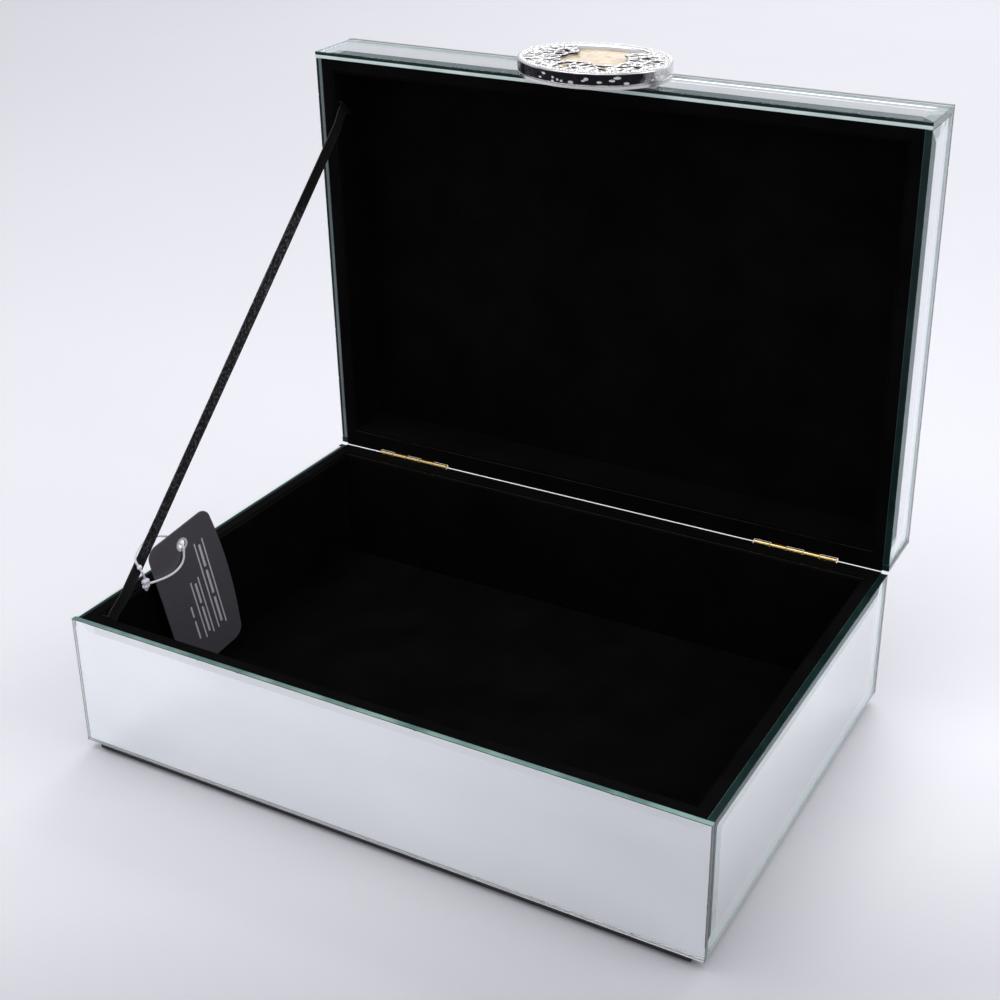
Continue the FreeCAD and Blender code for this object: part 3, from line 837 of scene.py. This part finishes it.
def build_lattice():
    """Branching openwork, cast in one piece: bars are fused and smoothed together."""
    rng = random.Random("lattice")
    low, high = shut_box("medallion_lattice")
    reach_x = (high.x - low.x) / 2 + lattice_overlap
    reach_z = (high.z - low.z) / 2 + lattice_overlap
    middle_y = (low.y + high.y) / 2
    bm = bmesh.new()

    def at(point, lift):
        return Vector((oval_centre.x + point[0] * reach_x, middle_y + lift,
                       oval_centre.z + point[1] * reach_z))

    for p, q in branch_network(rng):
        lift = rng.uniform(-0.15, 0.15) * MM
        a, b = at(p, lift), at(q, lift)
        run = b - a
        bend = run.cross(Vector((0, 1, 0))).normalized() * rng.uniform(-0.12, 0.12) * run.length
        thick = rng.uniform(0.44, 0.78) * MM
        count = max(3, int(run.length / (0.4 * MM)))
        for k in range(count + 1):
            t = k / count
            centre = a + run * t + bend * (4 * t * (1 - t))
            radius = thick * (1.0 + 0.55 * (2 * t - 1) ** 4)
            stretch = Matrix.Diagonal((1, half_lattice / radius, 1, 1))
            bmesh.ops.create_icosphere(bm, subdivisions=1, radius=radius,
                                       matrix=Matrix.Translation(centre) @ stretch)
    mesh = bpy.data.meshes.new("lattice_blobs")
    bm.to_mesh(mesh)
    bm.free()
    draft = bpy.data.objects.new("lattice_draft", mesh)
    collection.objects.link(draft)
    remesh = draft.modifiers.new("fuse", "REMESH")
    remesh.mode = "VOXEL"
    remesh.voxel_size = lattice_voxel
    smooth = draft.modifiers.new("smooth", "SMOOTH")
    smooth.iterations = 3
    bpy.context.view_layer.update()
    evaluated = draft.evaluated_get(bpy.context.evaluated_depsgraph_get())
    final = bmesh.new()
    final.from_mesh(evaluated.to_mesh())
    evaluated.to_mesh_clear()
    bpy.data.objects.remove(draft)
    bpy.data.meshes.remove(mesh)
    for vertex in final.verts:
        vertex.co.y = min(max(vertex.co.y, low.y + 0.02 * MM), high.y + 0.1 * MM)
    piece = mesh_object("medallion_openwork", final, [silver_cast], smooth=True)
    depth = high.y - low.y

    def hollow(point):
        sunk = min(1.0, max(0.0, (point.y - low.y) / depth - 0.12) * 1.8)
        return 0.80 * sunk + 0.22 * noise.noise(point / (2.5 * MM))

    set_layer(piece, "patina_and_painted_light", hollow)
    place(piece, "medallion_lattice")


def build_disc():
    """A shallow dome of marbled pearl."""
    low, high = shut_box("medallion_disc")
    half_x = (high.x - low.x) / 2 - 0.05 * MM
    half_z = (high.z - low.z) / 2 - 0.05 * MM
    count, rows = 96, 14
    bm = bmesh.new()


    def loop(share, y):
        return [bm.verts.new((oval_centre.x + half_x * share * math.cos(turn), y,
                              oval_centre.z + half_z * share * math.sin(turn)))
                for turn in full_turn(count)]

    loops = [loop(1.0, high.y), loop(1.0, low.y + 0.7 * MM)]
    for row in range(rows):
        share = 0.985 * (1 - row / rows)
        loops.append(loop(share, low.y + 0.02 * MM + 0.5 * MM * share * share))
    for a, b in zip(loops, loops[1:]):
        join_loops(bm, a, b)
    bm.faces.new(loops[0])
    top = bm.verts.new((oval_centre.x, low.y + 0.02 * MM, oval_centre.z))
    for k in range(count):
        bm.faces.new([loops[-1][k], loops[-1][(k + 1) % count], top])
    piece = mesh_object("medallion_pearl_disc", bm, [pearl], smooth=True)
    place(piece, "medallion_disc")


build_ring()
build_beads()
build_lattice()
build_disc()


# ---- ribbon stay ----------------------------------------------------------------------------
ribbon_width = 6.4 * MM
ribbon_thickness = 0.6 * MM
ribbon_base_depth = 4.3 * MM
ribbon_lid_depth = 6.0 * MM
ribbon_front_margin = 12.9 * MM
ribbon_reach = 168.3 * MM
ribbon_tab = 3.0 * MM
ribbon_ramp = 10.0 * MM
ribbon_wall_gap = 0.3 * MM
ribbon_lift = 1.2 * MM


def ribbon_line():
    """The stay's ends on the wall and its direction, as the CAD's dimensions give them."""
    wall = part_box("base_left_lining")
    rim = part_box("base_rim_trim")[1][2]
    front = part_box("base_front_mirror")[0][1]
    near = wall[1][0] + ribbon_wall_gap
    base_end = Vector((0, front + ribbon_front_margin, rim - ribbon_base_depth))
    up = Vector((0, -math.cos(open_angle), math.sin(open_angle)))
    inside = Vector((0, math.sin(open_angle), math.cos(open_angle)))
    lid_end = Vector((0, hinge_point.y, hinge_point.z)) + up * ribbon_reach
    lid_end += inside * ribbon_lid_depth
    return base_end, lid_end, near


def build_ribbon():
    """A taut woven ribbon with a raised selvedge, and a little slack twist in its free run."""
    base_end, lid_end, near = ribbon_line()
    direction = (lid_end - base_end).normalized()
    length = (lid_end - base_end).length
    across = Vector((1, 0, 0)).cross(direction)
    start = -ribbon_tab / 2
    total = length + ribbon_tab
    count = 300
    rows = [-1.0, -0.96, -0.86, -0.80, -0.4, 0.0, 0.4, 0.80, 0.86, 0.96, 1.0]
    middle = near + ribbon_thickness / 2

    def lift_at(s):
        foot = min(s - ribbon_tab / 2, length - ribbon_tab / 2 - s) / ribbon_ramp
        t = min(max(foot, 0.0), 1.0)
        return ribbon_lift * t * t * (3 - 2 * t)

    bm = bmesh.new()
    loops = []
    for k in range(count + 1):
        s = start + total * k / count
        share = min(max((s - ribbon_ramp) / (length - 2 * ribbon_ramp), 0.0), 1.0)
        wave = math.sin(math.pi * share)
        twist = 0.10 * wave * math.sin(2.2 * math.pi * share)
        edge = 0.06 * MM * noise.noise(Vector((s / (3 * MM), 0, 7)))
        upper, lower = [], []
        for row in rows:
            half = ribbon_width / 2 - abs(edge)
            thick = ribbon_thickness / 2 * (0.55 if abs(row) == 1.0 else
                                            0.98 if abs(row) > 0.83 else 0.74)
            out = across * (row * half * math.cos(twist))
            centre = base_end + direction * s + out
            x = middle + lift_at(s) + row * half * math.sin(twist) * 0.5
            upper.append(bm.verts.new((x + thick, centre.y, centre.z)))
            lower.append(bm.verts.new((x - thick, centre.y, centre.z)))
        loops.append(upper + lower[::-1])
    for a, b in zip(loops, loops[1:]):
        join_loops(bm, a, b)
    bm.faces.new(loops[0])
    bm.faces.new(loops[-1])
    piece = mesh_object("lid_stay_woven_ribbon", bm, [woven], smooth=True)

    # Painted light: the free run is lit, a little more towards the lid, and both ends are painted
    # dark where they lie in the box's shade.
    def ribbon_painted_light(point):
        share = (point.z - base_end.z) / (lid_end.z - base_end.z)
        lit = min(1.0, max(0.0, (0.84 - share) * 14)) * min(1.0, max(0.0, (share - 0.07) * 20))
        return 0.5 + 0.57 * lit * (0.80 + 0.20 * share)

    set_layer(piece, "ribbon_painted_light", ribbon_painted_light)
    place(piece, "lid_stay_ribbon", shut=False)
    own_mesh(piece)
    for k in range(61):
        s = start + total * k / 60


build_ribbon()


# ---- hang tag and its nylon loop ------------------------------------------------------------
tag_joint = joints["tag_swing"]
tag_hole = Vector(tag_joint["pos_m"])
tag_width = 36.0 * MM
tag_length = 71.0 * MM
tag_bulge = 2.0 * MM
tag_corner = 5.5 * MM
tag_thickness = 0.7 * MM
tag_hole_radius = 2.0 * MM
hole_ring_radius = 3.1 * MM
tag_hole_drop = 8.0 * MM
tag_lean = math.radians(12.0)
tag_yaw = math.radians(7.0)
level = Vector((math.sin(tag_yaw), math.cos(tag_yaw), 0))
tag_across = level * math.cos(tag_lean) + Vector((0, 0, 1)) * math.sin(tag_lean)
tag_up = Vector((0, 0, 1)) * math.cos(tag_lean) - level * math.sin(tag_lean)
tag_out = tag_across.cross(tag_up)


def on_tag(u, v, w):
    return tag_hole + tag_across * u + tag_up * v + tag_out * w


def tag_outline():
    half = tag_width / 2
    top = tag_hole_drop
    bottom = top - tag_length
    outline = []

    def corner(u, v, start):
        for k in range(9):
            angle = math.radians(start + 90 * k / 8)
            outline.append((u + tag_corner * math.cos(angle), v + tag_corner * math.sin(angle)))

    corner(-half + tag_corner, bottom + tag_corner, 180)
    corner(half - tag_corner, bottom + tag_corner, 270)
    run = tag_length - 2 * tag_corner
    for k in range(1, 24):
        t = k / 24
        outline.append((half + tag_bulge * 4 * t * (1 - t), bottom + tag_corner + run * t))
    corner(half - tag_corner, top - tag_corner, 0)
    corner(-half + tag_corner, top - tag_corner, 90)
    return outline


def plate_on_tag(bm, outline, hole, back, front, edge):
    """Adds a flat plate with softened edges, and a round hole if hole isn't None."""
    def ring(points, w):
        return [bm.verts.new(on_tag(u, v, w)) for u, v in points]

    def shrink(points, amount):
        centre_u = sum(p[0] for p in points) / len(points)
        centre_v = sum(p[1] for p in points) / len(points)
        result = []
        for u, v in points:
            away = math.hypot(u - centre_u, v - centre_v)
            share = 1 - amount / away
            result.append((centre_u + (u - centre_u) * share, centre_v + (v - centre_v) * share))
        return result

    outer = [ring(shrink(outline, edge), back), ring(outline, back + edge),
             ring(outline, front - edge), ring(shrink(outline, edge), front)]
    for a, b in zip(outer, outer[1:]):
        join_loops(bm, a, b)
    if hole is None:
        bm.faces.new(outer[0])
        bm.faces.new(outer[-1])
        return
    circle = [(hole * math.cos(turn), hole * math.sin(turn)) for turn in full_turn(32)]
    inner = [ring(circle, back), ring(circle, front)]
    join_loops(bm, *inner)
    for rim, hole_rim in ((outer[0], inner[0]), (outer[-1], inner[1])):
        edges = []
        for loop in (rim, hole_rim):
            for k in range(len(loop)):
                pair = (loop[k], loop[(k + 1) % len(loop)])
                edges.append(bm.edges.get(pair) or bm.edges.new(pair))
        bmesh.ops.triangle_fill(bm, edges=edges, use_beauty=True)


def rounded_bar(u0, u1, v0, v1, radius):
    points = []
    for u, v, start in ((u0 + radius, v0 + radius, 180), (u1 - radius, v0 + radius, 270),
                        (u1 - radius, v1 - radius, 0), (u0 + radius, v1 - radius, 90)):
        for k in range(6):
            angle = math.radians(start + 90 * k / 5)
            points.append((u + radius * math.cos(angle), v + radius * math.sin(angle)))
    return points


def build_tag():
    half = tag_thickness / 2
    bm = bmesh.new()
    plate_on_tag(bm, tag_outline(), tag_hole_radius, -half, half, 0.12 * MM)
    piece = mesh_object("hang_tag_card", bm, [card])
    place(piece, "hang_tag", shut=False, body="tag")

    bm = bmesh.new()
    circle = [(hole_ring_radius * math.cos(turn), hole_ring_radius * math.sin(turn))
              for turn in full_turn(40)]
    plate_on_tag(bm, circle, tag_hole_radius, half - 0.02 * MM, half + 0.10 * MM, 0.03 * MM)
    piece = mesh_object("hang_tag_hole_ring", bm, [paper_white])
    place(piece, shut=False, body="tag")

    bm = bmesh.new()
    for u0, u1, v0, v1 in print_bars:
        bar = rounded_bar(u0 * MM, u1 * MM, v0 * MM, v1 * MM, 0.4 * min(u1 - u0, v1 - v0) * MM)
        plate_on_tag(bm, bar, None, half - 0.02 * MM, half + 0.04 * MM, 0.015 * MM)
    piece = mesh_object("hang_tag_print", bm, [ink])
    place(piece, shut=False, body="tag")


# Plain rules and bars, in millimetres across and up the tag from its hole.
print_bars = [
    (10.2, 10.9, -51.0, -4.0), (5.6, 6.3, -51.0, -4.0),
    (7.7, 8.9, -18.0, -6.0), (7.7, 8.9, -33.0, -20.0), (7.7, 8.9, -49.0, -35.0),
    (2.4, 3.1, -51.0, -20.0), (-2.0, -1.3, -51.0, -20.0),
    (0.1, 1.2, -33.0, -22.0), (0.1, 1.2, -49.0, -35.0),
    (-5.6, -4.7, -37.0, -31.0), (-5.6, -4.7, -49.0, -39.0),
]

loop_route = [
    (-126.8, -63.3, 66.4), (-126.2, -59.2, 65.6), (-125.4, -52.8, 65.0), (-124.8, -49.0, 65.5),
    (-124.3, -46.2, 66.9), (-124.0, -44.4, 69.0), (-123.9, -43.8, 71.6)]
strand_turn = 1.3 * MM
loop_return = [
    (-127.7, -44.6, 78.6), (-129.0, -47.8, 80.8), (-129.9, -51.5, 82.6), (-129.9, -56.5, 83.8),
    (-129.9, -61.5, 84.0), (-129.7, -65.6, 82.6), (-128.5, -69.2, 79.4), (-127.3, -67.6, 75.9)]
lock_top = Vector((-127.0, -65.3, 69.4)) * MM
lock_bead = Vector((-127.3, -67.6, 75.9)) * MM


def build_loop():
    route = [Vector(p) * MM for p in loop_route]
    route += [tag_hole + tag_out * strand_turn, tag_hole - tag_out * strand_turn]
    route += [Vector(p) * MM for p in loop_return]
    curve = bpy.data.curves.new("tag_nylon_loop", "CURVE")
    curve.dimensions = "3D"
    spline = curve.splines.new("NURBS")
    spline.points.add(len(route) - 1)
    for point, position in zip(spline.points, route):
        point.co = (*position, 1)
    spline.order_u = 3
    spline.use_endpoint_u = True
    spline.resolution_u = 12
    curve.bevel_depth = 0.5 * MM
    curve.bevel_resolution = 4
    curve.use_fill_caps = True
    curve.materials.append(nylon)
    piece = bpy.data.objects.new("tag_nylon_loop", curve)
    collection.objects.link(piece)
    place(piece, "tag_loop", shut=False)


def build_lock():
    """The loop's moulded lock, with two barbed shoulders, and the bead above it."""
    bm = bmesh.new()
    profile = [(0.0, 0.5, 0.5), (0.3, 0.9, 1.3), (0.7, 1.05, 1.6), (1.7, 1.08, 1.66),
               (1.9, 0.70, 1.0), (2.6, 0.72, 1.05), (2.9, 1.0, 1.5), (3.9, 0.98, 1.42),
               (4.1, 0.62, 0.85), (5.0, 0.55, 0.7), (5.55, 0.3, 0.4)]
    count = 20
    loops = []
    for down, half_x, half_y in profile:
        loop = []
        for angle in full_turn(count):
            c, s = math.cos(angle), math.sin(angle)
            x = math.copysign(abs(c) ** 0.6, c) * half_x * 1.1 * MM
            y = math.copysign(abs(s) ** 0.6, s) * half_y * 1.1 * MM
            loop.append(bm.verts.new(lock_top + Vector((x, y, -down * MM))))
        loops.append(loop)
    for a, b in zip(loops, loops[1:]):
        join_loops(bm, a, b)
    bm.faces.new(loops[0])
    bm.faces.new(loops[-1])
    bmesh.ops.create_icosphere(bm, subdivisions=3, radius=1.12 * MM,
                               matrix=Matrix.Translation(lock_bead))
    run = lock_top - lock_bead
    turn = run.to_track_quat("Z", "Y").to_matrix().to_4x4()
    bmesh.ops.create_cone(bm, cap_ends=True, segments=16, radius1=0.48 * MM, radius2=0.48 * MM,
                          depth=run.length + 0.6 * MM,
                          matrix=Matrix.Translation(lock_bead + run / 2) @ turn)
    piece = mesh_object("tag_nylon_lock", bm, [nylon], smooth=True)
    place(piece, "tag_loop_lock", shut=False)


build_tag()
build_lock()
build_loop()


# ---- CAD pieces that stay -------------------------------------------------------------------
def give(node, material):
    mesh = frame["nodes"][node].data
    mesh.materials.clear()
    mesh.materials.append(material)


staying = {"_board": board, "hinge": brass, "medallion_back_plate": silver_cast,
           "medallion_pad": glue, "_staple": black_wire}
for node in frame["nodes"]:
    for mark, material in staying.items():
        if mark in node:
            give(node, material)


# ---- studio ---------------------------------------------------------------------------------
floor_half = 6.0


def add_floor():
    bm = bmesh.new()
    bmesh.ops.create_grid(bm, x_segments=1, y_segments=1, size=floor_half)
    floor = mesh_object("studio_floor", bm, [floor_paper])


def add_area(name, location, target, size, power):
    light = bpy.data.lights.new(name, "AREA")
    light.shape = "RECTANGLE"
    light.size, light.size_y = size
    light.energy = power
    lamp = bpy.data.objects.new(name, light)
    lamp.location = location
    lamp.rotation_euler = (Vector(target) - Vector(location)).to_track_quat("-Z", "Y").to_euler()
    collection.objects.link(lamp)


def add_world():
    """A soft surround, brighter near the horizon than overhead."""
    world = bpy.data.worlds.new("studio_world")
    world.use_nodes = True
    tree = world.node_tree
    coords = tree.nodes.new("ShaderNodeTexCoord")
    split = tree.nodes.new("ShaderNodeSeparateXYZ")
    tree.links.new(coords.outputs["Generated"], split.inputs["Vector"])
    color = color_ramp(tree, split.outputs["Z"], [
        (0.0, (0.86, 0.87, 0.93)), (0.32, (0.72, 0.73, 0.78)), (0.75, (0.40, 0.40, 0.43))])
    background = tree.nodes["Background"]
    tree.links.new(color, background.inputs["Color"])
    background.inputs["Strength"].default_value = 0.92
    bpy.context.scene.world = world


def add_camera():
    camera = bpy.data.objects.new("camera", bpy.data.cameras.new("camera"))
    collection.objects.link(camera)
    camera.location = (0.29391, -0.50768, 0.40247)
    right = Vector((0.8786, 0.47756, -0.00077)).normalized()
    forward = Vector((-0.43181, 0.79383, -0.42823)).normalized()
    up = right.cross(forward).normalized()
    right = forward.cross(up)
    camera.rotation_mode = "QUATERNION"
    camera.rotation_quaternion = Matrix((right, up, -forward)).transposed().to_quaternion()
    camera.data.sensor_width = 36.0
    camera.data.lens = 58.6
    camera.data.shift_x = -0.0268
    camera.data.shift_y = -0.0381
    camera.data.clip_start = 0.01
    bpy.context.scene.camera = camera


add_floor()
add_world()
add_camera()
add_area("key_softbox", (-0.25, -0.25, 1.15), (-0.15, 0.0, 0), (0.9, 0.8), 5.3)
add_area("right_softbox", (0.85, 0.1, 0.85), (0.2, 0.0, 0), (0.6, 0.7), 2.8)
add_area("back_softbox", (-0.2, 2.1, 1.8), (-0.2, 1.1, 0), (2.2, 1.4), 24)
bpy.context.scene.view_settings.view_transform = "Standard"
